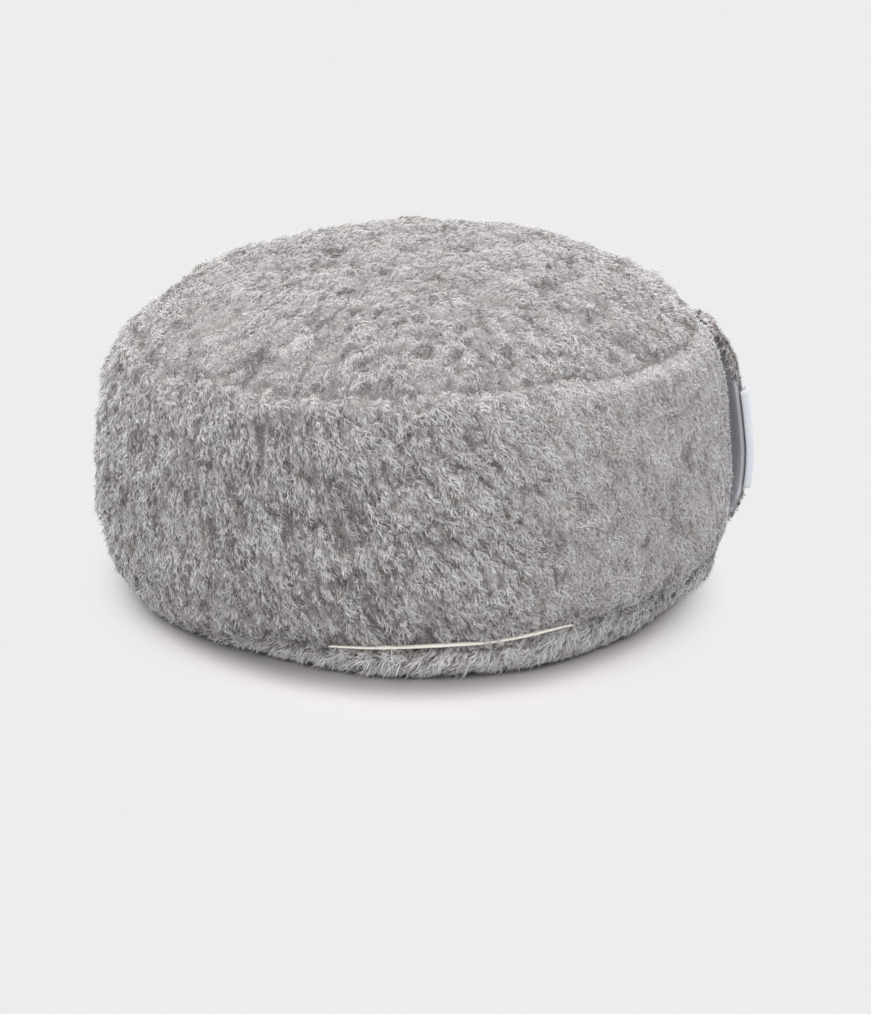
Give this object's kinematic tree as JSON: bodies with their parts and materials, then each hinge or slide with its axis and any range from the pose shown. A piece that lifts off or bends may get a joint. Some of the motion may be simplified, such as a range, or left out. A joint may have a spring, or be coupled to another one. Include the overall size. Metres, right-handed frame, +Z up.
{
  "type": "round zafu meditation cushion with a carry handle",
  "caption": "Round crowned meditation cushion in long-pile fleece with a carry handle at its side, for sitting on a floor.",
  "frame": {"origin": "centre of the flat base, on the surface that the cushion rests on", "axes": "+Z up through the crown, +X out through the middle of the carry handle"},
  "size_m": [0.3963, 0.3829, 0.1984],
  "materials": {
    "fleece": "long pile, matt",
    "lining": "smooth, matt",
    "label": "woven tape, matt",
    "ecru_edge": "woven tape, matt"
  },
  "bodies": {
    "root": {"cushion": "fleece", "handle_pile": "fleece", "handle_lining": "lining", "handle_label": "label", "placket_edge": "ecru_edge"}
  },
  "joints": []
}
